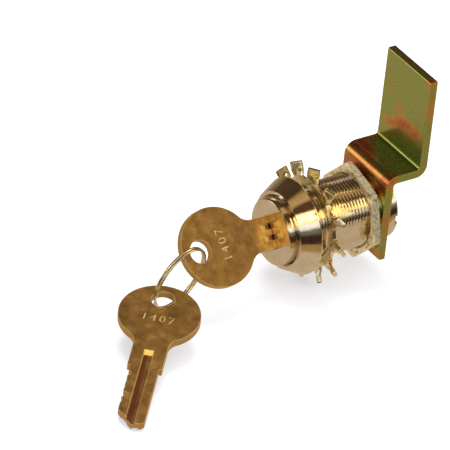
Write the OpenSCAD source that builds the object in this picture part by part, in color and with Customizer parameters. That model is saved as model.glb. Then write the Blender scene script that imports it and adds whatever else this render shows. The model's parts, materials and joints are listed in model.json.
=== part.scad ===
// Keyed cam lock: threaded barrel with flats, wafer plug, offset cam, mounting nut, tooth washer, two keys on a ring.
// Frame: lock axis along +Y, key side towards -Y, flats facing +X and -X.
// Origin: centre of the collar's back face, which seats on the panel.

/* [Barrel] */
// Outside diameter of the thread
barrel_d = 19.05; // [19:0.05:20]
// Length of the barrel behind the panel face
barrel_l = 19; // [18:0.5:24]
// Distance across the two flats
flats_w = 17.5; // [17.2:0.1:18.2]
// Thread pitch
pitch = 0.94; // [0.8:0.02:1.2]
// Largest diameter of the collar
collar_d = 25.4; // [24:0.2:28]
// Diameter of the collar's front rim
rim_d = 20.8; // [20.2:0.2:22]
// Length of the collar
collar_l = 5.6; // [5:0.1:7]

/* [Plug] */
// Diameter of the plug's body
plug_d = 14; // [13.8:0.1:14.2]
// Diameter of the plug's face
face_d = 17.6; // [17:0.1:17.7]
// How far the face stands in front of the collar
face_out = 2.2; // [1:0.1:3]
// Diameter of the threaded tail
tail_d = 12.7; // [12:0.1:13]
// Distance across the tail's flats
tail_w = 8.6; // [8.2:0.1:8.6]
// Angle of the keyway from the flats
key_roll = 45; // [42:1:48]

/* [Wafers] */
// Distance from one wafer to the next
wafer_step = 2.5; // [2.4:0.1:2.6]
// Thickness of a wafer
wafer_t = 0.8; // [0.6:0.05:0.9]
// Width of a wafer
wafer_w = 6; // [5.6:0.1:6]
// Turns in a wafer spring
spring_turns = 5; // [4:1:7]

/* [Nut and washer] */
// Width across the flats of the mounting nut
nut_af = 22.2; // [21.5:0.1:24]
// Thickness of the mounting nut
nut_t = 2.2; // [2:0.1:3]
// Outside diameter over the washer's teeth
washer_od = 31.6; // [30:0.2:33]
// Outside diameter of the washer's plain ring
washer_ring_d = 24; // [23.4:0.2:25]
// Number of teeth
teeth = 12; // [8:1:14]
// Twist of each tooth
tooth_twist = 38; // [20:1:40]

/* [Cam] */
// Width of the cam
cam_w = 19.05; // [18:0.05:22]
// Thickness of the cam
cam_t = 2.3; // [2:0.1:2.6]
// Offset between the two flats of the cam
cam_offset = 9.8; // [8:0.2:12]
// Length of the flat with the slot
cam_base_l = 21.7; // [20:0.1:24]
// Length of the nose flat
cam_nose_l = 25; // [15:0.5:35]
// Length of the slot
slot_l = 15.9; // [15.6:0.1:16.2]

/* [Keys] */
// Diameter of the bow
bow_d = 20.8; // [20:0.1:22]
// Length from the bow's centre to the tip
key_l = 40.6; // [40:0.1:41]
// Width of the neck
neck_w = 8.75; // [8.6:0.05:8.8]
// Width of the blade
blade_w = 7.2; // [7:0.1:7.2]
// Thickness of a key
key_t = 2; // [2:0.05:2.2]
// Diameter of the hole in the bow
bow_hole_d = 6; // [5.6:0.1:6.4]
// Outside diameter of the split ring
ring_od = 18.6; // [18:0.1:19]
// Wire diameter of the split ring
wire_d = 0.7; // [0.6:0.05:0.8]

/* [Hidden] */
$fn = 96;
eps = 0.05;

nickel = [0.74, 0.68, 0.60];
zinc = [0.70, 0.70, 0.62];
yellow_zinc = [0.80, 0.76, 0.58];
dichromate = [0.50, 0.47, 0.20];
brass = [0.66, 0.46, 0.18];
wafer_brass = [0.80, 0.66, 0.34];
spring_steel = [0.66, 0.66, 0.68];

run = 0.05;

// Barrel
barrel_r = barrel_d / 2;
thread_h = 0.52;
shank_l = 1.2;
shank_r = barrel_r + 0.02;
shank_flat = flats_w / 2 + 0.02;
collar_round = 0.95;
rim_bevel = 0.5;
face_seat = -3;
bore_r = plug_d / 2 + run;
channel_r = 7.8;
channel_w = wafer_w + 0.2;
lug_h = 0.8;
lug_in = 7.3;
lug_out = 8.6;
stop_span = 90;
tab_half = 14;
tab_gap = 2;

// Plug
plug_r = plug_d / 2;
face_front = -collar_l - face_out;
face_chamfer = 0.3;
plug_end = barrel_l - run;
shoulder_y = -4.2;
keyway_end = 17;
keyway_x = key_t / 2 + 0.1;

// Wafers
first_wafer_y = -1.2;
last_wafer = 4;
retainer_y = 12.6;
retainer_hold = 0.5;
wafer_drop = 0.7;
wafer_reach = plug_r - 0.1;
slot_gap = 0.05;
ear_x = 4.9;
ear_h = 1;
spring_x = 4.05;
spring_r = 0.78;
spring_wire = 0.16;
pocket_r = 0.9;
pocket_top = 3.9;
window_x = 1.28;
window_top = 4.15;
window_bottom = -3.75;

// Stack behind the barrel
stop_t = 0.7;
stop_y = barrel_l;
cam_y = stop_y + lug_h + 0.05;
cam_nut_y = cam_y + cam_t + run;
cam_nut_t = 3.2;
cam_nut_d = 18.2;
tail_end = cam_nut_y + cam_nut_t - 0.4;

// Mounting nut and washer
nut_y = barrel_l - 3.1;
nut_roll = -16.4;
nut_bore_r = barrel_r + 0.06;
washer_t = 1.1;
washer_mid_y = 3.6;
washer_id = 19.7;
tooth_w = 3.1;

// Cam
cam_bend = 0.8;
slot_w = 8.7;
slot_end_r = 5.4;
cam_edge_chamfer = 0.7;
cam_nose_chamfer = 0.25;

// Keys
shoulder_l = 20;
bow_y = shoulder_y - shoulder_l;
hole_l = 5.2;
blade_h = blade_w / 2;
groove_d = 0.5;
twin_groove_w = 1.5;
twin_groove_z = 1.45;
single_groove_w = 2.4;
groove_start = 13.6;
groove_ramp = 1.6;
cut_first = 3;
cut_root = 0.9;
cut_slope = 0.55;
cut_depths = [0.6, 0.2, 0.15, 1.35, 0.35];

// Split ring and spare key: the ring passes through both bow holes at opposite ends of a diameter
ring_r = (ring_od - wire_d) / 2;
bow_hole_r = bow_hole_d / 2;
key_across = [sin(key_roll), 0, -cos(key_roll)];
key_pierce = [0, bow_y - hole_l + 0.23 * bow_hole_r, 0] + 0.465 * bow_hole_r * key_across;
ring_dir = unit([0.206, -0.912, -0.356]);
ring_tangent = unit(square_to([0.271, -0.297, 0.916], ring_dir));
ring_at = key_pierce + ring_r * ring_dir;
spare_dir = unit([0.72, -0.67, -0.155]);
spare_up = unit(square_to([0, 0, 1], spare_dir));
spare_side = cross(spare_up, spare_dir);
spare_pierce = ring_at + ring_r * ring_dir;
spare_at = spare_pierce + 0.75 * bow_hole_r * spare_side + (hole_l - 0.1) * spare_dir;

// Vector helpers
function unit(v) = v / norm(v);
function square_to(v, n) = v - (v * n) * n;
// Points of an arc from angle a to angle b
function arc(cx, cy, r, a, b, n) =
    [for (i = [0:n]) let(t = a + (b - a) * i / n) [cx + r * cos(t), cy + r * sin(t)]];

// Turns local Z to point along +Y, so that solids of revolution lie on the lock's axis
module along_y(y) {
    translate([0, y, 0]) rotate([-90, 0, 0]) children();
}

// The plug's own frame: X across the key's thickness, Z along its width
module plug_frame() {
    rotate([0, -key_roll, 0]) children();
}

module box(low, high) {
    translate(low) cube(high - low);
}

// Round bar along Y with two flats facing +X and -X
module double_d(r, half_flat, y0, y1) {
    intersection() {
        along_y(y0) cylinder(r = r, h = y1 - y0);
        box([-half_flat, y0 - 1, -r - 1], [half_flat, y1 + 1, r + 1]);
    }
}

// ---------- barrel ----------

// Outline of the collar in radius and distance along the axis
module collar_outline() {
    rim_r = rim_d / 2;
    round_c = [collar_d / 2 - collar_round, -collar_round];
    cone_a = atan2(-(collar_l - collar_round), collar_d / 2 - rim_r) + 90;
    polygon(concat(
        [[0, -collar_l], [rim_r - 0.2, -collar_l], [rim_r, -collar_l + 0.2]],
        arc(round_c[0], round_c[1], collar_round, cone_a - 25, 90, 8),
        [[0, 0]]
    ));
}

// Thread crests and roots as a closed outline
module thread_outline() {
    count = floor((barrel_l - shank_l - 0.4) / pitch);
    root = barrel_r - thread_h;
    steps = [[root, 0.44], [root, 0.56], [barrel_r, 0.94], [barrel_r, 1]];
    polygon(concat(
        [[0, 0], [barrel_r, 0], [barrel_r, shank_l]],
        [for (i = [0:count - 1], s = steps) [s[0], shank_l + (i + s[1]) * pitch]],
        [[barrel_r - 0.4, barrel_l], [0, barrel_l]]
    ));
}

module threaded_body() {
    intersection() {
        along_y(0) rotate_extrude() thread_outline();
        box([-flats_w / 2, -1, -barrel_r - 1], [flats_w / 2, barrel_l + 1, barrel_r + 1]);
    }
    double_d(shank_r, shank_flat, -0.5, shank_l);
}

// Wall on the rear face that the stop washer's tab runs against
module stop_wall() {
    free = stop_span + 2 * (tab_half + tab_gap);
    start = 90 - tab_half - tab_gap;
    along_y(barrel_l - 0.5) rotate([0, 0, start + free])
        rotate_extrude(angle = 360 - free)
            translate([lug_in, 0]) square([lug_out - lug_in, lug_h + 0.5]);
}

module wafer_channels() {
    for (side = [0, 90]) {
        rotate([0, side - key_roll, 0])
            box([-channel_w / 2, first_wafer_y - 1, -channel_r],
                [channel_w / 2, first_wafer_y + last_wafer * wafer_step + 1, channel_r]);
    }
}

module barrel() {
    color(nickel) difference() {
        union() {
            along_y(0) rotate_extrude() collar_outline();
            threaded_body();
            stop_wall();
        }
        along_y(-collar_l - 1) cylinder(r = bore_r, h = collar_l + barrel_l + 3);
        along_y(-collar_l - 1) cylinder(d = face_d + 0.2, h = 1 + collar_l + face_seat);
        along_y(-collar_l - eps)
            cylinder(r1 = face_d / 2 + 0.1 + rim_bevel + eps, r2 = face_d / 2 + 0.1, h = rim_bevel + 0.3);
        along_y(retainer_y - 0.55) cylinder(r = 7.75, h = 1.1);
        wafer_channels();
    }
}

// ---------- plug ----------

module plug_blank() {
    along_y(face_front) cylinder(r1 = face_d / 2 - face_chamfer, r2 = face_d / 2, h = face_chamfer);
    along_y(face_front + face_chamfer) cylinder(d = face_d, h = face_seat - run - face_front - face_chamfer);
    along_y(face_seat - 1) cylinder(r = plug_r, h = plug_end - face_seat + 1);
    double_d(tail_d / 2, tail_w / 2, plug_end - 1, tail_end);
}

// Slot for one wafer, with the pocket for its spring
module wafer_slot(y) {
    t = wafer_t / 2 + slot_gap;
    x = wafer_w / 2 + slot_gap;
    box([-x, y - t, -plug_r - 1], [x, y + t, plug_r + 1]);
    box([x - eps, y - t, -ear_h - wafer_drop - 0.2], [ear_x + 0.1, y + t, 0.15]);
    translate([spring_x, y, -ear_h - wafer_drop - 0.2])
        cylinder(r = pocket_r, h = pocket_top + ear_h + wafer_drop + 0.2);
}

// Long bars that fit the grooves of the key
module ward_ribs() {
    rib_h = groove_d - 0.1;
    y0 = shoulder_y + 0.6;
    for (z = [-twin_groove_z, twin_groove_z]) {
        box([keyway_x - rib_h + 0.02, y0, z - twin_groove_w / 2 + 0.15],
            [keyway_x + 0.3, keyway_end - 0.4, z + twin_groove_w / 2 - 0.15]);
    }
    box([-keyway_x - 0.3, y0, -single_groove_w / 2 + 0.15],
        [-keyway_x + rib_h - 0.02, keyway_end - 0.4, single_groove_w / 2 - 0.15]);
}

module keyway() {
    difference() {
        box([-keyway_x, face_front - 1, -blade_h - 0.06], [keyway_x, keyway_end, blade_h + 0.06]);
        ward_ribs();
    }
    box([-keyway_x, face_front - 1, -neck_w / 2 - 0.08], [keyway_x, shoulder_y + 0.04, neck_w / 2 + 0.08]);
}

module plug() {
    color(nickel) difference() {
        plug_blank();
        plug_frame() {
            keyway();
            for (i = [0:last_wafer]) wafer_slot(first_wafer_y + i * wafer_step);
            wafer_slot(retainer_y);
        }
    }
}

// ---------- wafers and springs ----------

// One flat tumbler: rounded plate with a window for the blade and an ear for its spring
module wafer_plate(y) {
    t = wafer_t / 2;
    difference() {
        union() {
            intersection() {
                along_y(y - t) cylinder(r = wafer_reach, h = wafer_t);
                box([-wafer_w / 2, y - t - 1, -plug_r], [wafer_w / 2, y + t + 1, plug_r]);
            }
            box([wafer_w / 2 - 0.3, y - t, -ear_h], [ear_x, y + t, 0]);
        }
        box([-window_x, y - t - 1, window_bottom], [window_x, y + t + 1, window_top]);
    }
}

module wafer(i) {
    color(wafer_brass) plug_frame() wafer_plate(first_wafer_y + i * wafer_step);
}

// Coil of round wire along Z, built ring by ring along its helix
module coil(r, wire, h, turns) {
    per_turn = 12;
    sides = 6;
    n = turns * per_turn;
    rings = [for (i = [0:n]) let(a = 360 * i / per_turn)
        for (k = [0:sides - 1]) let(b = 360 * k / sides, q = r + wire * cos(b))
            [q * cos(a), q * sin(a), wire + (h - 2 * wire) * i / n + wire * sin(b)]];
    walls = [for (i = [0:n - 1], k = [0:sides - 1], half = [0, 1])
        let(m = (k + 1) % sides, a = i * sides + k, b = i * sides + m, c = a + sides, d = b + sides)
        half == 0 ? [a, b, d] : [a, d, c]];
    first_cap = [[for (k = [sides - 1:-1:0]) k]];
    last_cap = [[for (k = [0:sides - 1]) n * sides + k]];
    polyhedron(rings, concat(walls, first_cap, last_cap), convexity = 6);
}

module spring_at(y, low) {
    color(spring_steel) plug_frame() translate([spring_x, y, low + 0.03])
        coil(spring_r - spring_wire, spring_wire, pocket_top - low - 0.06, spring_turns);
}

module wafer_spring(i) {
    spring_at(first_wafer_y + i * wafer_step, 0);
}

// Same plate as a wafer, held down into the barrel's ring groove
module retainer_wafer() {
    color(wafer_brass) plug_frame() translate([0, 0, -retainer_hold]) wafer_plate(retainer_y);
}

module retainer_spring() {
    spring_at(retainer_y, -retainer_hold);
}

// ---------- stop washer, nuts and tooth washer ----------

module stop_washer() {
    color(zinc) difference() {
        union() {
            along_y(stop_y) cylinder(r = lug_in - 0.3, h = stop_t);
            along_y(stop_y) rotate([0, 0, 90 - tab_half]) rotate_extrude(angle = 2 * tab_half)
                translate([3, 0]) square([lug_out - 3, stop_t]);
        }
        double_d(tail_d / 2 + run, tail_w / 2 + run, stop_y - 1, stop_y + stop_t + 1);
    }
}

module hex_nut() {
    corner_r = nut_af / 2 / cos(30);
    crown = nut_af / 2 + 0.35;
    color(zinc) difference() {
        intersection() {
            along_y(nut_y) rotate([0, 0, 90 + nut_roll]) cylinder(r = corner_r, h = nut_t, $fn = 6);
            along_y(nut_y) rotate_extrude() polygon([
                [0, 0], [crown, 0], [corner_r + 0.1, 0.45],
                [corner_r + 0.1, nut_t - 0.45], [crown, nut_t], [0, nut_t]
            ]);
        }
        along_y(nut_y - 1) cylinder(r = nut_bore_r, h = nut_t + 2);
        for (face = [0, 1]) {
            along_y(nut_y + face * nut_t) rotate([face * 180, 0, 0]) translate([0, 0, -0.01])
                cylinder(r1 = nut_bore_r + 0.45, r2 = nut_bore_r, h = 0.4);
        }
    }
}

// One twisted tooth, widening towards its tip
module tooth() {
    reach = washer_od / 2;
    root = washer_ring_d / 2 - 0.9;
    translate([root, 0, 0]) rotate([tooth_twist, 0, 0]) translate([0, 0, -washer_t / 2])
        linear_extrude(washer_t) polygon([
            [0, -tooth_w * 0.42], [reach - root - 0.5, -tooth_w * 0.5], [reach - root, -tooth_w * 0.36],
            [reach - root, tooth_w * 0.36], [reach - root - 0.5, tooth_w * 0.5], [0, tooth_w * 0.42]
        ]);
}

module tooth_washer() {
    color(yellow_zinc) along_y(washer_mid_y) difference() {
        union() {
            translate([0, 0, -washer_t / 2]) cylinder(d = washer_ring_d, h = washer_t);
            for (i = [0:teeth - 1]) rotate([0, 0, 360 * i / teeth]) tooth();
        }
        translate([0, 0, -5]) cylinder(d = washer_id, h = 10);
    }
}

// Side view of the strip in Y and Z: slotted flat, first bend, leg, second bend, nose flat
module cam_strip_outline() {
    inner = cam_bend;
    outer = cam_bend + cam_t;
    z0 = -cam_base_l / 2;
    z1 = cam_base_l / 2;
    z2 = z1 + inner + outer;
    z3 = z2 + cam_nose_l;
    c1 = [outer, z1];
    c2 = [cam_offset - inner, z2];
    polygon(concat(
        [[0, z0 + cam_edge_chamfer], [cam_edge_chamfer, z0], [cam_t, z0]],
        arc(c1[0], c1[1], inner, 180, 90, 6),
        arc(c2[0], c2[1], outer, -90, 0, 8),
        [[cam_offset + cam_t, z3], [cam_offset + cam_nose_chamfer, z3], [cam_offset, z3 - cam_nose_chamfer]],
        arc(c2[0], c2[1], inner, 0, -90, 6),
        arc(c1[0], c1[1], outer, 90, 180, 8)
    ));
}

// Slot with rounded ends, a little blunter than half circles
module slot_outline() {
    end_y = slot_l / 2 - slot_end_r;
    intersection() {
        square([slot_w, slot_l + 2], center = true);
        union() {
            translate([0, end_y]) circle(r = slot_end_r);
            translate([0, -end_y]) circle(r = slot_end_r);
            square([slot_w, 2 * end_y], center = true);
        }
    }
}

module cam() {
    color(dichromate) difference() {
        translate([cam_w / 2, cam_y, 0]) rotate([90, 0, -90]) mirror([1, 0, 0])
            linear_extrude(cam_w) cam_strip_outline();
        translate([0, cam_y + cam_t + 1, 0]) rotate([90, 0, 0]) linear_extrude(cam_t + 2) slot_outline();
    }
}

module cam_nut() {
    r = cam_nut_d / 2;
    edge = 0.8;
    color(nickel) difference() {
        along_y(cam_nut_y) rotate_extrude() polygon(concat(
            [[0, 0]],
            arc(r - edge, edge, edge, -90, 0, 6),
            arc(r - edge, cam_nut_t - edge, edge, 0, 90, 6),
            [[0, cam_nut_t]]
        ));
        along_y(cam_nut_y - 1) cylinder(r = tail_d / 2 + run, h = cam_nut_t + 2);
        box([-r - 1, cam_nut_y + cam_nut_t - 1, -1.1], [r + 1, cam_nut_y + cam_nut_t + 1, 1.1]);
    }
}

// ---------- keys ----------

// One cut in the blade's edge at length l and depth d
module cut(l, d) {
    polygon([
        [l - cut_root / 2, blade_h - d], [l + cut_root / 2, blade_h - d],
        [l + cut_root / 2 + d * cut_slope + 0.3, blade_h + 0.3 / cut_slope],
        [l - cut_root / 2 - d * cut_slope - 0.3, blade_h + 0.3 / cut_slope]
    ]);
}

// Flat outline of a key: length along X from the bow's centre, width along Y
module key_outline() {
    half_neck = neck_w / 2;
    difference() {
        union() {
            offset(r = -4) offset(delta = 4) {
                circle(d = bow_d);
                translate([0, -half_neck]) square([groove_start + 1, neck_w]);
            }
            translate([groove_start, -half_neck]) square([shoulder_l - groove_start, neck_w]);
            polygon([
                [shoulder_l - 1, -blade_h], [key_l - 1.2, -blade_h], [key_l - 0.4, -blade_h + 0.7],
                [key_l, -0.5], [key_l - 4.4, blade_h], [shoulder_l - 1, blade_h]
            ]);
        }
        for (i = [0:last_wafer]) cut(shoulder_l + cut_first + i * wafer_step, cut_depths[i]);
    }
}

// Milled groove with a sloping start, cut from the side at x = key_t / 2
module groove(z, w) {
    translate([0, 0, z - w / 2]) linear_extrude(w) polygon([
        [key_t / 2 + 1, groove_start], [key_t / 2, groove_start],
        [key_t / 2 - groove_d, groove_start + groove_ramp],
        [key_t / 2 - groove_d, key_l + 1], [key_t / 2 + 1, key_l + 1]
    ]);
}

// A key with its bow's centre at the origin, blade along +Y, width along Z, thickness along X
module key_shape() {
    difference() {
        rotate([90, 0, 90]) translate([0, 0, -key_t / 2]) linear_extrude(key_t) key_outline();
        translate([-key_t, -hole_l, 0]) rotate([0, 90, 0]) cylinder(d = bow_hole_d, h = 2 * key_t);
        for (z = [-twin_groove_z, twin_groove_z]) groove(z, twin_groove_w);
        mirror([1, 0, 0]) groove(0, single_groove_w);
    }
}

module key() {
    color(brass) plug_frame() translate([0, bow_y, 0]) key_shape();
}

// Places local X, Y, Z along three given directions
module on_axes(x, y, z, at) {
    multmatrix([
        [x[0], y[0], z[0], at[0]],
        [x[1], y[1], z[1], at[1]],
        [x[2], y[2], z[2], at[2]],
        [0, 0, 0, 1]
    ]) children();
}

// Two turns of wire side by side
module key_ring() {
    color(spring_steel) on_axes(ring_dir, ring_tangent, cross(ring_dir, ring_tangent), ring_at) {
        for (side = [-1, 1]) {
            translate([0, 0, side * wire_d * 0.48]) rotate_extrude()
                translate([ring_r, 0]) circle(d = wire_d, $fn = 24);
        }
    }
}

module spare_key() {
    color(brass) on_axes(-spare_up, spare_dir, cross(-spare_up, spare_dir), spare_at) key_shape();
}

barrel();
plug();
retainer_wafer();
retainer_spring();
stop_washer();
hex_nut();
tooth_washer();
cam();
cam_nut();
wafer(0);  // wafer_1
wafer(1);  // wafer_2
wafer(2);  // wafer_3
wafer(3);  // wafer_4
wafer(4);  // wafer_5
wafer_spring(0);  // wafer_spring_1
wafer_spring(1);  // wafer_spring_2
wafer_spring(2);  // wafer_spring_3
wafer_spring(3);  // wafer_spring_4
wafer_spring(4);  // wafer_spring_5
key();
key_ring();
spare_key();
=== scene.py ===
"""Looks of the cam lock: metal finishes, rounded edges, wound key ring, twisted washer, stage and camera."""

import json
import math

import bmesh
import bpy
from mathutils import Matrix, Vector

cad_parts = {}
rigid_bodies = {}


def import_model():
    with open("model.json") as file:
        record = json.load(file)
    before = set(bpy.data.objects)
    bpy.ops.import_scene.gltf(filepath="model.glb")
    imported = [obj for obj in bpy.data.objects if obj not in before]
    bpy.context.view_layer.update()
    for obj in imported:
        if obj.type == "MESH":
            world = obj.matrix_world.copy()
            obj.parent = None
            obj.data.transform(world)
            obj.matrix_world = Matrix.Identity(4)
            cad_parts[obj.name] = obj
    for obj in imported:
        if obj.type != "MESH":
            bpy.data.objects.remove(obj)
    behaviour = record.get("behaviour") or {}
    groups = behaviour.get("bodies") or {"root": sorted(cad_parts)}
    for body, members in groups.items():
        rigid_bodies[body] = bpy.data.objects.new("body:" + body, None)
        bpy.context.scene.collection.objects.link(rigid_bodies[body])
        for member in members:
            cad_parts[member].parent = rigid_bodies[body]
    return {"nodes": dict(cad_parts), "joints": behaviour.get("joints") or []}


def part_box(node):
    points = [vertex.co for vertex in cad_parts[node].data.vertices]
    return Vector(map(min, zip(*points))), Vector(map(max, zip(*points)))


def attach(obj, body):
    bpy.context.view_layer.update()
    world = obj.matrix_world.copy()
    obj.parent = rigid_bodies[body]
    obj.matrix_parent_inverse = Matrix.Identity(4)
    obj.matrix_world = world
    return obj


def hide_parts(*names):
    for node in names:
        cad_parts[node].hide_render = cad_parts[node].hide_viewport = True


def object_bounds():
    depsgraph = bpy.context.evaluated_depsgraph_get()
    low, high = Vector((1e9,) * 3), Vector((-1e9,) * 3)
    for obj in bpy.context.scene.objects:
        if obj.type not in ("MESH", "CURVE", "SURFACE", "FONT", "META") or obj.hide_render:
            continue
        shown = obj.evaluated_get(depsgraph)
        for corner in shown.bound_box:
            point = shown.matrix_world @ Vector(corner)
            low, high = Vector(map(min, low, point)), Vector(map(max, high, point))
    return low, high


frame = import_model()
cad_low, cad_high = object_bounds()

MM = 0.001
nodes = frame["nodes"]


# ---------- node materials ----------


class Finish:
    """A metal finish under construction: each method adds one node and returns its output socket."""

    def __init__(self, name, metallic=1.0):
        self.material = bpy.data.materials.new(name)
        self.material.use_nodes = True
        self.tree = self.material.node_tree
        self.bsdf = self.tree.nodes["Principled BSDF"]
        self.bsdf.inputs["Metallic"].default_value = metallic
        self.place = self.add("ShaderNodeTexCoord").outputs["Object"]

    def add(self, kind, **settings):
        """New shader node of a kind, with its settings."""
        node = self.tree.nodes.new(kind)
        for key, value in settings.items():
            setattr(node, key, value)
        return node

    def feed(self, socket, value):
        """Links an output socket to an input, or sets the input to a fixed value."""
        if isinstance(value, bpy.types.NodeSocket):
            self.tree.links.new(value, socket)
        elif isinstance(value, tuple) and len(value) == 3 and socket.type == "RGBA":
            socket.default_value = (*value, 1.0)
        else:
            socket.default_value = value

    def stretched(self, stretch):
        """Object coordinates scaled along X, Y and Z: a small factor makes a pattern long that way."""
        mapping = self.add("ShaderNodeMapping")
        self.feed(mapping.inputs["Vector"], self.place)
        self.feed(mapping.inputs["Scale"], stretch)
        return mapping.outputs["Vector"]

    def noise(self, size_mm, detail=3.0, rough=0.55, distortion=0.0, stretch=None):
        """Cloudy pattern from 0 to 1 with features of about the given size."""
        node = self.add("ShaderNodeTexNoise")
        self.feed(node.inputs["Vector"], self.stretched(stretch) if stretch else self.place)
        self.feed(node.inputs["Scale"], 1 / (size_mm * MM))
        self.feed(node.inputs["Detail"], detail)
        self.feed(node.inputs["Roughness"], rough)
        self.feed(node.inputs["Distortion"], distortion)
        return node.outputs["Fac"]

    def cells(self, size_mm):
        """Distance from scattered points that lie about the given size apart."""
        node = self.add("ShaderNodeTexVoronoi", feature="F1")
        self.feed(node.inputs["Vector"], self.place)
        self.feed(node.inputs["Scale"], 1 / (size_mm * MM))
        return node.outputs["Distance"]

    def ramp(self, value, stops):
        """Colour or grey ramp: stops are (position, grey or colour)."""
        node = self.add("ShaderNodeValToRGB")
        steps = node.color_ramp.elements
        while len(steps) < len(stops):
            steps.new(1.0)
        for step, (position, colour) in zip(steps, stops):
            step.position = position
            step.color = (*colour, 1.0) if isinstance(colour, tuple) else (colour, colour, colour, 1.0)
        self.feed(node.inputs["Fac"], value)
        return node.outputs["Color"]

    def mix(self, share, a, b):
        """Colour a where the share is 0 and colour b where it is 1."""
        node = self.add("ShaderNodeMix", data_type="RGBA")
        self.feed(node.inputs["Factor"], share)
        self.feed(node.inputs[6], a)
        self.feed(node.inputs[7], b)
        return node.outputs[2]

    def math(self, operation, a, b=0.0):
        node = self.add("ShaderNodeMath", operation=operation)
        self.feed(node.inputs[0], a)
        self.feed(node.inputs[1], b)
        return node.outputs[0]

    def bump(self, height, depth_mm, normal=None):
        """Surface normal bent by a height pattern, on top of an earlier bump if one is given."""
        node = self.add("ShaderNodeBump")
        self.feed(node.inputs["Height"], height)
        self.feed(node.inputs["Distance"], depth_mm * MM)
        if normal is not None:
            self.feed(node.inputs["Normal"], normal)
        return node.outputs["Normal"]

    def edges(self, radius_mm):
        """Near 1 along edges and corners, 0 on open faces."""
        rounded = self.add("ShaderNodeBevel", samples=4)
        self.feed(rounded.inputs["Radius"], radius_mm * MM)
        plain = self.add("ShaderNodeNewGeometry").outputs["Normal"]
        dot = self.add("ShaderNodeVectorMath", operation="DOT_PRODUCT")
        self.feed(dot.inputs[0], rounded.outputs["Normal"])
        self.feed(dot.inputs[1], plain)
        return self.ramp(dot.outputs["Value"], [(0.80, 1.0), (0.985, 0.0)])

    def facing(self, direction):
        """1 where the surface faces along the direction or against it, 0 where it is square to it."""
        dot = self.add("ShaderNodeVectorMath", operation="DOT_PRODUCT")
        self.feed(dot.inputs[0], self.add("ShaderNodeTexCoord").outputs["Normal"])
        self.feed(dot.inputs[1], tuple(direction))
        return self.math("ABSOLUTE", dot.outputs["Value"])

    def along(self, direction, start, scale):
        """Distance from a point along a direction, in units of the given scale."""
        dot = self.add("ShaderNodeVectorMath", operation="DOT_PRODUCT")
        self.feed(dot.inputs[0], self.place)
        self.feed(dot.inputs[1], tuple(direction / scale))
        return self.math("SUBTRACT", dot.outputs["Value"], start.dot(direction) / scale)

    def done(self, colour, roughness, normal=None, metallic=None):
        """Feeds the surface shader and returns the material."""
        self.feed(self.bsdf.inputs["Base Color"], colour)
        if metallic is not None:
            self.feed(self.bsdf.inputs["Metallic"], metallic)
        self.feed(self.bsdf.inputs["Roughness"], roughness)
        if normal is not None:
            self.feed(self.bsdf.inputs["Normal"], normal)
        return self.material


def nickel_finish():
    """Bright nickel plate: warm grey, nearly mirror smooth, with faint ripple, tarnish and scratches."""
    f = Finish("nickel_plate")
    tarnish = f.noise(3.5, detail=4)
    colour = f.ramp(tarnish, [(0.35, (0.80, 0.74, 0.66)), (0.62, (0.72, 0.64, 0.53))])
    dust = f.ramp(f.cells(0.9), [(0.03, 1.0), (0.06, 0.0)])
    colour = f.mix(f.math("MULTIPLY", dust, 0.35), colour, (0.30, 0.22, 0.15))
    scratches = f.noise(0.35, detail=2, stretch=(1.0, 0.08, 1.0))
    ripple = f.noise(2.2, detail=2)
    rough = f.ramp(f.noise(1.1), [(0.3, 0.05), (0.7, 0.13)])
    normal = f.bump(ripple, 0.012)
    normal = f.bump(scratches, 0.007, normal)
    return f.done(colour, rough, normal)


def zinc_finish():
    """Dull zinc plate on a stamped nut: grainy and mottled, with a painted highlight along the edges."""
    f = Finish("zinc_plate", metallic=0.75)
    blotches = f.noise(1.1, detail=6, rough=0.7)
    colour = f.ramp(blotches, [
        (0.36, (0.34, 0.28, 0.15)),
        (0.46, (0.76, 0.67, 0.42)),
        (0.56, (1.0, 0.90, 0.60)),
    ])
    # Painted highlight: the rounded edges are lightened towards pale cream.
    colour = f.mix(f.math("MULTIPLY", f.edges(0.3), 0.8), colour, (1.0, 0.94, 0.70))
    grain = f.noise(0.28, detail=4, rough=0.7)
    rough = f.ramp(grain, [(0.3, 0.14), (0.7, 0.28)])
    normal = f.bump(blotches, 0.07)
    normal = f.bump(grain, 0.02, normal)
    return f.done(colour, rough, normal)


def yellow_zinc_finish():
    """Pale yellow zinc plate on stamped spring steel, with a painted highlight along the edges."""
    f = Finish("yellow_zinc")
    tint = f.noise(2.4, detail=4)
    colour = f.ramp(tint, [(0.3, (0.66, 0.60, 0.40)), (0.5, (0.90, 0.85, 0.62)), (0.7, (0.97, 0.95, 0.80))])
    # Painted highlight: the rounded edges are lightened towards pale yellow.
    colour = f.mix(f.edges(0.2), colour, (1.0, 0.97, 0.80))
    grain = f.noise(0.3, detail=3)
    rough = f.ramp(grain, [(0.3, 0.14), (0.7, 0.26)])
    return f.done(colour, rough, f.bump(grain, 0.008))


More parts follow.
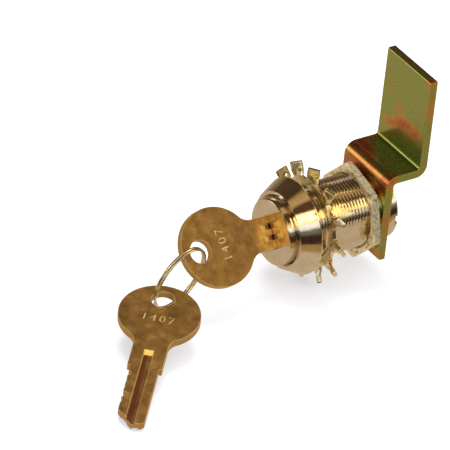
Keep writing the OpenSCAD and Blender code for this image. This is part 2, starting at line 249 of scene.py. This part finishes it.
def dichromate_finish():
    """Yellow dichromate passivation: olive green with orange, red and pink interference patches, and a
    painted highlight along the edges.
    """
    f = Finish("dichromate")
    patches = f.noise(13.0, detail=2.5, rough=0.45, distortion=0.5)
    colour = f.ramp(patches, [
        (0.33, (0.56, 0.24, 0.09)),
        (0.39, (0.44, 0.36, 0.12)),
        (0.45, (0.33, 0.42, 0.14)),
        (0.57, (0.36, 0.41, 0.13)),
        (0.62, (0.66, 0.31, 0.10)),
        (0.68, (0.50, 0.16, 0.08)),
    ])
    film = f.noise(1.1, detail=5, rough=0.65)
    colour = f.mix(f.ramp(film, [(0.45, 0.0), (0.8, 0.35)]), colour, (0.55, 0.48, 0.15))
    # Painted highlight: the rounded edges are lightened towards bright yellow.
    colour = f.mix(f.math("MULTIPLY", f.edges(0.35), 0.85), colour, (0.95, 0.86, 0.26))
    pits = f.ramp(f.cells(2.3), [(0.03, 1.0), (0.06, 0.0)])
    colour = f.mix(f.math("MULTIPLY", pits, 0.6), colour, (0.24, 0.13, 0.04))
    grain = f.noise(0.22, detail=3)
    rough = f.ramp(grain, [(0.3, 0.2), (0.7, 0.32)])
    normal = f.bump(f.noise(3.0, detail=2), 0.05)
    return f.done(colour, rough, f.bump(grain, 0.003, normal))


def key_brass_finish(name, plate, groove_mm=None):
    """Handled brass: brown gold faces and bright digits, with dark red painted shade in the grooves, painted
    shading on the sides, and painted highlights along the edges and on the groove slopes.

    With a groove half width given, the painted groove shade narrows towards the bow end of the groove.
    """
    rim_highlight_gold = (1.0, 0.86, 0.42)
    digit_gold = (1.0, 0.84, 0.42)
    slope_highlight_gold = (1.0, 0.68, 0.16)
    side_shading_gold = (0.52, 0.33, 0.10)
    groove_shade_red = (0.17, 0.05, 0.028)
    f = Finish(name)
    stain = f.noise(3.0, detail=5, rough=0.62)
    colour = f.ramp(stain, [
        (0.32, (0.22, 0.12, 0.036)),
        (0.52, (0.345, 0.20, 0.062)),
        (0.7, (0.50, 0.315, 0.11)),
    ])
    blush = f.ramp(f.noise(4.5, detail=3, distortion=0.6), [(0.46, 0.0), (0.62, 0.45)])
    colour = f.mix(blush, colour, (0.42, 0.22, 0.066))
    specks = f.ramp(f.noise(0.35, detail=2), [(0.60, 0.0), (0.68, 1.0)])
    colour = f.mix(f.math("MULTIPLY", specks, 0.6), colour, (0.17, 0.08, 0.03))
    facing = f.facing(plate["up"])
    flat = f.ramp(facing, [(0.965, 0.0), (0.995, 1.0)])
    # Height over the key's middle plane: 1 on its faces, about 0.9 in the digits, about 0.5 in the grooves
    height = f.math("ABSOLUTE", f.along(plate["up"], plate["bow"], plate["top"]))
    # Painted shade: faces recessed deeper than the digits, the grooves, are darkened dark red.
    groove_shade = f.math("MULTIPLY", f.ramp(height, [(0.66, 1.0), (0.72, 0.0)]), flat)
    if groove_mm:
        length = f.along(plate["along"], plate["bow"], plate["radius"])
        width = f.math("ABSOLUTE", f.along(plate["side"], plate["bow"], groove_mm * MM))
        cover = f.math("SUBTRACT", f.math("MULTIPLY", length, 0.55), width)
        groove_shade = f.math("MULTIPLY", groove_shade, f.ramp(cover, [(0.0, 0.45), (0.5, 1.0)]))
    # Painted shade, dark red, in the grooves.
    colour = f.mix(f.math("MULTIPLY", groove_shade, 0.9), colour, groove_shade_red)
    struck = f.math("MULTIPLY", f.ramp(height, [(0.72, 0.0), (0.76, 1.0), (0.92, 1.0), (0.96, 0.0)]), flat)
    patchy = f.ramp(f.noise(0.5, detail=2), [(0.36, 0.25), (0.56, 1.0)])
    struck = f.math("MULTIPLY", struck, patchy)
    colour = f.mix(f.math("MULTIPLY", struck, 0.9), colour, digit_gold)
    # Painted shading: the key's sides, square to its faces, get their own olive gold colour.
    side = f.ramp(facing, [(0.35, 1.0), (0.7, 0.0)])
    colour = f.mix(f.math("MULTIPLY", side, 0.8), colour, side_shading_gold)
    # Painted highlight: the shallow slopes at the start of the grooves are painted bright gold.
    slope = f.ramp(facing, [(0.80, 0.0), (0.90, 1.0), (0.965, 1.0), (0.985, 0.0)])
    colour = f.mix(f.math("MULTIPLY", slope, 0.95), colour, slope_highlight_gold)
    # Painted highlight: the rounded edges are painted pale gold.
    colour = f.mix(f.math("MULTIPLY", f.edges(0.25), 0.95), colour, rim_highlight_gold)
    scratches = f.noise(0.3, detail=3, stretch=(0.25, 1.0, 0.25))
    rough = f.mix(slope, f.ramp(stain, [(0.3, 0.42), (0.7, 0.30)]), (0.16, 0.16, 0.16))
    normal = f.bump(f.noise(1.4, detail=3), 0.02)
    bright = f.math("MAXIMUM", slope, struck)
    metal = f.math("SUBTRACT", 0.82, f.math("MULTIPLY", bright, 0.42))
    return f.done(colour, rough, f.bump(scratches, 0.006, normal), metallic=metal)


def wafer_brass_finish():
    """Clean stamped brass inside the lock."""
    f = Finish("wafer_brass")
    stain = f.noise(1.2, detail=4)
    colour = f.ramp(stain, [(0.3, (0.70, 0.52, 0.22)), (0.7, (0.86, 0.70, 0.36))])
    brushed = f.noise(0.12, detail=3, stretch=(1.0, 1.0, 0.1))
    rough = f.ramp(brushed, [(0.3, 0.25), (0.7, 0.45)])
    return f.done(colour, rough, f.bump(brushed, 0.004))


def steel_wire_finish(name, light, dark, smoothest):
    """Drawn wire: fine grain in its roughness and surface, with a few darker patches."""
    f = Finish(name)
    patches = f.noise(1.5, detail=4)
    colour = f.ramp(patches, [(0.35, dark), (0.6, light)])
    streaks = f.noise(0.18, detail=3)
    rough = f.ramp(streaks, [(0.3, smoothest), (0.7, smoothest + 0.12)])
    return f.done(colour, rough, f.bump(streaks, 0.001))


# ---------- places taken from the frame ----------

SETTLE_STEPS = 60
ANY_DIRECTION = Vector((0.31, 0.42, 0.53))


def joint_place(name):
    """Point on a joint's axis."""
    return Vector(next(j for j in frame["joints"] if j["name"] == name)["pos_m"])


def spread_of(points):
    """Centre of a set of points, and the matrix of their spread around it."""
    centre = sum(points, Vector()) / len(points)
    offsets = [p - centre for p in points]
    spread = Matrix([[sum(o[i] * o[j] for o in offsets) for j in range(3)] for i in range(3)])
    return centre, offsets, spread


def settle(matrix, guess):
    """Direction that repeated multiplication by a matrix settles on."""
    for _ in range(SETTLE_STEPS):
        guess = (matrix @ guess).normalized()
    return guess


def plate_frame(node, hole):
    """A key's bow centre and radius, and its length, width and thickness directions, from its vertices."""
    points = [v.co.copy() for v in nodes[node].data.vertices]
    centre, offsets, spread = spread_of(points)
    along = settle(spread, (centre - hole).normalized())
    across = settle(spread.inverted(), ANY_DIRECTION)
    faces = [f for f in nodes[node].data.polygons if abs(f.normal.dot(across)) > 0.95]
    across = max(faces, key=lambda f: f.area).normal.copy()
    if across.z < 0:
        across = -across
    along = (along - along.dot(across) * across).normalized()
    side = across.cross(along).normalized()
    widths = [o.dot(side) for o in offsets]
    bow_r = (max(widths) - min(widths)) / 2
    middle = (max(widths) + min(widths)) / 2
    bow = centre + along * (min(o.dot(along) for o in offsets) + bow_r) + side * middle
    thick = max(o.dot(across) for o in offsets)
    return {"bow": bow, "radius": bow_r, "along": along, "side": side, "up": across, "top": thick}


plates = {
    "key": plate_frame("key", joint_place("ring_swing")),
    "spare_key": plate_frame("spare_key", joint_place("spare_key_swing")),
}

finishes = {
    "nickel": nickel_finish(),
    "zinc": zinc_finish(),
    "yellow_zinc": yellow_zinc_finish(),
    "dichromate": dichromate_finish(),
    "key_brass": key_brass_finish("key_brass", plates["key"]),
    "spare_brass": key_brass_finish("spare_brass", plates["spare_key"], groove_mm=1.2),
    "wafer_brass": wafer_brass_finish(),
    "spring": steel_wire_finish("spring_steel", (0.72, 0.71, 0.68), (0.50, 0.49, 0.47), 0.25),
    "ring": steel_wire_finish("ring_steel", (0.92, 0.88, 0.76), (0.62, 0.55, 0.42), 0.08),
}


# ---------- CAD nodes: finish and rounded edges ----------


def paint(obj, finish):
    """Gives an object one of the finishes as its only material."""
    obj.data.materials.clear()
    obj.data.materials.append(finishes[finish])


JOIN_MM = 0.002
STEP_JOIN_MM = 0.03  # the barrel's shank stands 0.02 mm proud of its thread; that step is joined away
FLAT_WITHIN_DEG = 0.4
EDGE_SEGMENTS = 2
PLAIN_EDGE_DEG = 28
KEY_EDGE_DEG = 14  # keeps the shallow slopes at the start of a key's grooves crisp


def join_faces(obj):
    """Joins the points that neighbouring faces of an imported mesh have in the same place."""
    weld = obj.modifiers.new("join", "WELD")
    weld.merge_threshold = (STEP_JOIN_MM if obj.name == "barrel" else JOIN_MM) * MM


def soften(obj, width_mm, angle_deg=PLAIN_EDGE_DEG, stamp=None):
    """Joins the imported faces, rounds every edge sharper than the angle and smooths the shading."""
    normals = obj.data.attributes.get("custom_normal")
    if normals is not None:
        obj.data.attributes.remove(normals)
    obj.data.shade_smooth()
    join_faces(obj)
    flat = obj.modifiers.new("merge_flats", "DECIMATE")
    flat.decimate_type = "DISSOLVE"
    flat.angle_limit = math.radians(FLAT_WITHIN_DEG)
    bevel = obj.modifiers.new("round_edges", "BEVEL")
    bevel.width = width_mm * MM
    bevel.segments = EDGE_SEGMENTS
    bevel.limit_method = "ANGLE"
    bevel.angle_limit = math.radians(angle_deg)
    bevel.miter_outer = "MITER_ARC"
    if stamp is not None:
        cut = obj.modifiers.new("stamped_number", "BOOLEAN")
        cut.operation = "DIFFERENCE"
        cut.solver = "EXACT"
        cut.object = stamp
    even = obj.modifiers.new("even_normals", "WEIGHTED_NORMAL")
    even.keep_sharp = True
    even.weight = 100


# Finish and rounding width in mm of each CAD node; a spring is only joined and smoothed
CAD_FINISH = {
    "barrel": ("nickel", 0.05),
    "plug": ("nickel", 0.08),
    "cam_nut": ("nickel", 0.12),
    "stop_washer": ("zinc", 0.06),
    "hex_nut": ("zinc", 0.18),
    "cam": ("dichromate", 0.16),
    "key": ("key_brass", 0.22),
    "spare_key": ("spare_brass", 0.22),
    "retainer_wafer": ("wafer_brass", 0.03),
    "retainer_spring": ("spring", 0.0),
}
for i in range(1, 6):
    CAD_FINISH[f"wafer_{i}"] = ("wafer_brass", 0.03)
    CAD_FINISH[f"wafer_spring_{i}"] = ("spring", 0.0)

STAMP_NUMBER = "1407"
STAMP_DEPTH = 0.2 * MM
STAMP_HEIGHT = 3.4 * MM
STAMP_SPACING = 1.35
STAMP_FROM_BOW = 1.9 * MM


def stamp_tool(node):
    """Solid digits that cut a shallow stamped number into the upper face of a key's bow."""
    plate = plates[node]
    text = bpy.data.curves.new(f"{node}_number", "FONT")
    text.body = STAMP_NUMBER
    text.align_x = "CENTER"
    text.align_y = "CENTER"
    text.size = STAMP_HEIGHT
    text.space_character = STAMP_SPACING
    text.resolution_u = 4
    text.extrude = STAMP_DEPTH
    letters = bpy.data.objects.new(f"{node}_letters", text)
    bpy.context.scene.collection.objects.link(letters)
    bpy.context.view_layer.update()
    evaluated = letters.evaluated_get(bpy.context.evaluated_depsgraph_get())
    solid = bpy.data.meshes.new_from_object(evaluated)
    bpy.data.objects.remove(letters)
    joined = bmesh.new()
    joined.from_mesh(solid)
    bmesh.ops.remove_doubles(joined, verts=joined.verts, dist=0.001 * MM)
    joined.to_mesh(solid)
    joined.free()
    right, up = plate["side"], -plate["along"]
    facing = Matrix((right, up, right.cross(up))).transposed()
    at = plate["bow"] + plate["along"] * STAMP_FROM_BOW + plate["up"] * plate["top"]
    solid.transform(Matrix.Translation(at) @ facing.to_4x4())
    tool = bpy.data.objects.new(f"{node}_stamp", solid)
    bpy.context.scene.collection.objects.link(tool)
    tool.parent = nodes[node].parent
    tool.hide_render = True
    tool.hide_viewport = True
    return tool


STAMPED = {node: stamp_tool(node) for node in plates}

for name, (finish, edge_mm) in CAD_FINISH.items():
    paint(nodes[name], finish)
    if name in STAMPED:
        soften(nodes[name], edge_mm, KEY_EDGE_DEG, STAMPED[name])
    elif edge_mm:
        soften(nodes[name], edge_mm)
    else:
        join_faces(nodes[name])
        nodes[name].data.shade_smooth()


# ---------- pieces built here: key ring, one wire wound twice ----------


def smooth_step(x):
    """Eases from 0 to 1 while x goes from 0 to 1."""
    x = min(1.0, max(0.0, x))
    return x * x * (3 - 2 * x)


def mesh_object(name, points, faces, finish, body):
    """New piece from points and faces, with a finish, riding on a CAD body."""
    mesh = bpy.data.meshes.new(name)
    mesh.from_pydata([tuple(p) for p in points], [], faces)
    mesh.validate()
    mesh.shade_smooth()
    obj = bpy.data.objects.new(name, mesh)
    bpy.context.scene.collection.objects.link(obj)
    paint(obj, finish)
    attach(obj, body)
    return obj


def wound_ring(ends_towards):
    """Nearly two turns of wire side by side; both ends lie on the side the direction points to."""
    centre, offsets, spread = spread_of([v.co.copy() for v in nodes["key_ring"].data.vertices])
    axis = settle(spread.inverted(), ANY_DIRECTION)
    heights = [o.dot(axis) for o in offsets]
    radii = [(o - o.dot(axis) * axis).length for o in offsets]
    wire_r = (max(radii) - min(radii)) / 4
    mean_r = (max(radii) + min(radii)) / 2
    lift = max(heights) - wire_r
    side = axis.orthogonal().normalized()
    up = axis.cross(side)
    start = math.atan2(ends_towards.dot(up), ends_towards.dot(side))
    steps, sides = 220, 16
    turns = 1.96
    change_start, change_share = 0.455, 0.09
    tip_size, tip_growth = 0.4, 60
    ring_points = []
    for i in range(steps + 1):
        share = i / steps
        angle = start + share * turns * math.tau
        out = side * math.cos(angle) + up * math.sin(angle)
        height = lift * (2 * smooth_step((share - change_start) / change_share) - 1)
        section_r = wire_r * min(1.0, tip_size + tip_growth * min(share, 1 - share))
        for k in range(sides):
            a = math.tau * k / sides
            outwards = out * (mean_r + section_r * math.cos(a))
            ring_points.append(centre + outwards + axis * (height + section_r * math.sin(a)))
    faces = [
        (i * sides + k, (i + 1) * sides + k, (i + 1) * sides + (k + 1) % sides, i * sides + (k + 1) % sides)
        for i in range(steps)
        for k in range(sides)
    ]
    faces.append(tuple(range(sides)))
    faces.append(tuple(steps * sides + k for k in reversed(range(sides))))
    return mesh_object("split_ring", ring_points, faces, "ring", "ring")


WIRE_ENDS_TOWARDS = Vector((-0.62, -0.76, -0.1))
split_ring = wound_ring(WIRE_ENDS_TOWARDS)
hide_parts("key_ring")


# ---------- tooth washer: flat ring with smoothly twisted teeth ----------


def twisted_washer():
    """Flat ring whose square-ended teeth twist out of its plane, thickened and rounded."""
    low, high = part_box("tooth_washer")
    middle_y = (low.y + high.y) / 2
    tip_r = (high.x - low.x) / 2 - 0.05 * MM
    teeth, thick, twist = 12, 1.1 * MM, math.radians(38)
    hole_r, ring_r, half_w = 9.85 * MM, 12.0 * MM, 1.6 * MM
    root_width, waist_loss, tip_gain = 1.04, 0.06, 0.02
    waist_at, twist_done_at = 1 / 2, 1 / 1.7
    gap_sink, fillet_rise = 0.15 * MM, 0.22 * MM
    ring_rows, tooth_rows = 3, 9
    tooth_cols = [-1.0, -0.5, 0.0, 0.5, 1.0]
    gap_cols = [0.12, 0.3, 0.5, 0.7, 0.88]
    half_angle = math.asin(half_w * root_width / ring_r)
    pitch = math.tau / teeth
    points, faces, columns = [], [], []

    def place(x, y, z):
        points.append(Vector((x, middle_y + z, -y)))
        return len(points) - 1

    def ring_column(angle, outer_r):
        radii = (hole_r, (hole_r + ring_r) / 2, outer_r)
        return [place(r * math.cos(angle), r * math.sin(angle), 0.0) for r in radii]

    for t in range(teeth):
        c = t * pitch
        for s in tooth_cols:
            column = ring_column(c + s * half_angle, ring_r)
            for row in range(1, tooth_rows + 1):
                share = row / tooth_rows
                start = ring_r * math.cos(half_angle * s)
                r = start + (tip_r - start) * share
                waist = waist_loss * smooth_step(share / waist_at)
                width = half_w * s * (root_width - waist + tip_gain * share)
                turn = twist * smooth_step(share / twist_done_at)
                flat, lift = width * math.cos(turn), width * math.sin(turn)
                x = r * math.cos(c) - flat * math.sin(c)
                y = r * math.sin(c) + flat * math.cos(c)
                column.append(place(x, y, lift))
            columns.append((column, True))
        for g in gap_cols:
            a = c + half_angle + g * (pitch - 2 * half_angle)
            fillet = fillet_rise * (2 * g - 1) ** 4
            columns.append((ring_column(a, ring_r - gap_sink + fillet), False))
    for k, (left, left_tooth) in enumerate(columns):
        right, right_tooth = columns[(k + 1) % len(columns)]
        rows = len(left) if left_tooth and right_tooth else ring_rows
        for row in range(rows - 1):
            faces.append((left[row], right[row], right[row + 1], left[row + 1]))
    washer = mesh_object("lock_washer", points, faces, "yellow_zinc", "washer")
    solid = washer.modifiers.new("thickness", "SOLIDIFY")
    solid.thickness = thick
    solid.offset = 0
    bevel = washer.modifiers.new("round_edges", "BEVEL")
    bevel.width = 0.16 * MM
    bevel.segments = 2
    bevel.limit_method = "ANGLE"
    bevel.angle_limit = math.radians(50)
    even = washer.modifiers.new("even_normals", "WEIGHTED_NORMAL")
    even.keep_sharp = True
    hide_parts("tooth_washer")


twisted_washer()


# ---------- stage, light and camera ----------


# Light that metal mirrors around the lock's axis: angle in degrees (0 is +X, 90 is up), colour
BANDS = [
    (-180, (0.30, 0.20, 0.12)),
    (-150, (0.60, 0.47, 0.32)),
    (-40, (0.62, 0.48, 0.32)),
    (-33, (0.40, 0.26, 0.09)),
    (-20, (0.40, 0.26, 0.09)),
    (-14, (0.05, 0.028, 0.02)),
    (3, (0.05, 0.028, 0.02)),
    (8, (0.16, 0.14, 0.10)),
    (18, (0.24, 0.22, 0.17)),
    (22, (1.0, 1.05, 1.05)),
    (31, (1.4, 1.32, 1.1)),
    (36, (1.3, 1.05, 0.52)),
    (46, (1.0, 0.72, 0.32)),
    (54, (0.12, 0.055, 0.03)),
    (82, (0.10, 0.045, 0.02)),
    (90, (0.56, 0.38, 0.15)),
    (106, (0.50, 0.33, 0.12)),
    (115, (0.07, 0.04, 0.018)),
    (162, (0.09, 0.05, 0.022)),
    (180, (0.30, 0.20, 0.12)),
]

# Soft lamps seen only in reflections: direction, inner and outer angle in degrees, colour
SOFT_SPOTS = [
    ((-0.72, -0.66, 0.20), 7, 16, (2.2, 2.0, 1.5)),
    ((0.545, -0.53, 0.66), 8, 15, (3.2, 2.6, 1.2)),
    ((0.23, 0.90, 0.36), 10, 20, (3.4, 2.5, 1.0)),
    ((-0.52, 0.33, 0.775), 4, 9, (1.0, 0.75, 0.34)),
]


SOFT_WHITE = (1.0, 1.0, 1.02)


class World:
    """The studio's world shader under construction."""

    def __init__(self, name):
        world = bpy.data.worlds.new(name)
        bpy.context.scene.world = world
        world.use_nodes = True
        self.tree = world.node_tree
        self.tree.nodes.clear()
        self.link = self.tree.links.new
        self.direction = self.add("ShaderNodeTexCoord").outputs["Generated"]

    def add(self, kind, **settings):
        """New shader node of a kind, with its settings."""
        node = self.tree.nodes.new(kind)
        for key, value in settings.items():
            setattr(node, key, value)
        return node

    def mix(self, share, a, b):
        """Light a where the share is 0 and light b where it is 1; each is a socket or a colour."""
        node = self.add("ShaderNodeMix", data_type="RGBA")
        self.link(share, node.inputs["Factor"])
        for socket, value in ((node.inputs[6], a), (node.inputs[7], b)):
            if isinstance(value, tuple):
                socket.default_value = (*value, 1.0)
            else:
                self.link(value, socket)
        return node.outputs[2]

    def bands(self):
        """Colour bands around the lock's axis, by the angle of the mirrored direction."""
        split = self.add("ShaderNodeSeparateXYZ")
        self.link(self.direction, split.inputs[0])
        angle = self.add("ShaderNodeMath", operation="ARCTAN2")
        self.link(split.outputs["Z"], angle.inputs[0])
        self.link(split.outputs["X"], angle.inputs[1])
        share = self.add("ShaderNodeMapRange")
        share.inputs["From Min"].default_value = -math.pi
        share.inputs["From Max"].default_value = math.pi
        self.link(angle.outputs[0], share.inputs["Value"])
        ramp = self.add("ShaderNodeValToRGB")
        steps = ramp.color_ramp.elements
        while len(steps) < len(BANDS):
            steps.new(1.0)
        for step, (degrees, colour) in zip(steps, BANDS):
            step.position = (degrees + 180) / 360
            step.color = (*colour, 1.0)
        self.link(share.outputs["Result"], ramp.inputs["Fac"])
        return ramp.outputs["Color"]

    def spot_share(self, towards, inner_deg, outer_deg):
        """1 within the inner angle from a direction, fading to 0 at the outer angle."""
        dot = self.add("ShaderNodeVectorMath", operation="DOT_PRODUCT")
        self.link(self.direction, dot.inputs[0])
        dot.inputs[1].default_value = Vector(towards).normalized()
        fade = self.add("ShaderNodeMapRange", interpolation_type="SMOOTHSTEP")
        fade.inputs["From Min"].default_value = math.cos(math.radians(outer_deg))
        fade.inputs["From Max"].default_value = math.cos(math.radians(inner_deg))
        self.link(dot.outputs["Value"], fade.inputs["Value"])
        return fade.outputs["Result"]


def world_light():
    """White to the camera, even white for soft light, and a banded warm studio in reflections."""
    world = World("studio")
    mirrored = world.bands()
    for towards, inner_deg, outer_deg, colour in SOFT_SPOTS:
        mirrored = world.mix(world.spot_share(towards, inner_deg, outer_deg), mirrored, colour)
    is_glossy = world.add("ShaderNodeLightPath").outputs["Is Glossy Ray"]
    background = world.add("ShaderNodeBackground")
    world.link(world.mix(is_glossy, SOFT_WHITE, mirrored), background.inputs["Color"])
    output = world.add("ShaderNodeOutputWorld")
    world.link(background.outputs["Background"], output.inputs["Surface"])


def pale_floor(height):
    """White paper with soft shadows; mirror reflections see the studio instead of it."""
    size = 2.0
    mesh = bpy.data.meshes.new("floor")
    corners = [(-size, -size, height), (size, -size, height), (size, size, height), (-size, size, height)]
    mesh.from_pydata(corners, [], [(0, 1, 2, 3)])
    floor = bpy.data.objects.new("floor", mesh)
    bpy.context.scene.collection.objects.link(floor)
    f = Finish("floor_paper", metallic=0.0)
    fibre = f.noise(0.8, detail=3)
    f.done(f.ramp(fibre, [(0.3, (0.60, 0.60, 0.62)), (0.7, (0.62, 0.62, 0.63))]), 0.9)
    f.feed(f.bsdf.inputs["Specular IOR Level"], 0.0)
    f.feed(f.bsdf.inputs["Emission Color"], (0.98, 0.99, 1.0))
    f.feed(f.bsdf.inputs["Emission Strength"], 0.42)
    floor.data.materials.append(f.material)
    floor.visible_glossy = False


def softbox(name, at, size, power):
    """Square area lamp aimed at the origin, not seen in reflections."""
    light = bpy.data.lights.new(name, "AREA")
    light.size = size
    light.energy = power
    lamp = bpy.data.objects.new(name, light)
    lamp.location = at
    lamp.rotation_mode = "QUATERNION"
    lamp.rotation_quaternion = (-Vector(at)).to_track_quat("-Z", "Y")
    lamp.visible_glossy = False
    bpy.context.scene.collection.objects.link(lamp)


LONG_LENS_MM = 600


def photo_camera():
    """Long lens above and to the right of the key side, rolled a little."""
    azimuth, elevation, roll = math.radians(53), math.radians(33), math.radians(6.5)
    frame_width = 113.4 * MM
    collar_right = 17.9 * MM
    back = Vector((
        math.sin(azimuth) * math.cos(elevation),
        -math.cos(azimuth) * math.cos(elevation),
        math.sin(elevation),
    ))
    camera = bpy.data.cameras.new("camera")
    camera.lens = LONG_LENS_MM
    distance = frame_width * camera.lens / camera.sensor_width
    turn = (-back).to_track_quat("-Z", "Y").to_matrix() @ Matrix.Rotation(roll, 3, "Z")
    right = turn @ Vector((1, 0, 0))
    eye = bpy.data.objects.new("camera", camera)
    eye.matrix_world = Matrix.Translation(back * distance - right * collar_right) @ turn.to_4x4()
    camera.clip_end = 10
    bpy.context.scene.collection.objects.link(eye)
    bpy.context.scene.camera = eye


world_light()
pale_floor(cad_low.z)
softbox("top_soft", (-0.25, 0.1, 0.6), 0.35, 3.0)
softbox("side_soft", (0.5, 0.15, 0.3), 0.2, 1.0)
photo_camera()
bpy.context.scene.view_settings.view_transform = "Standard"
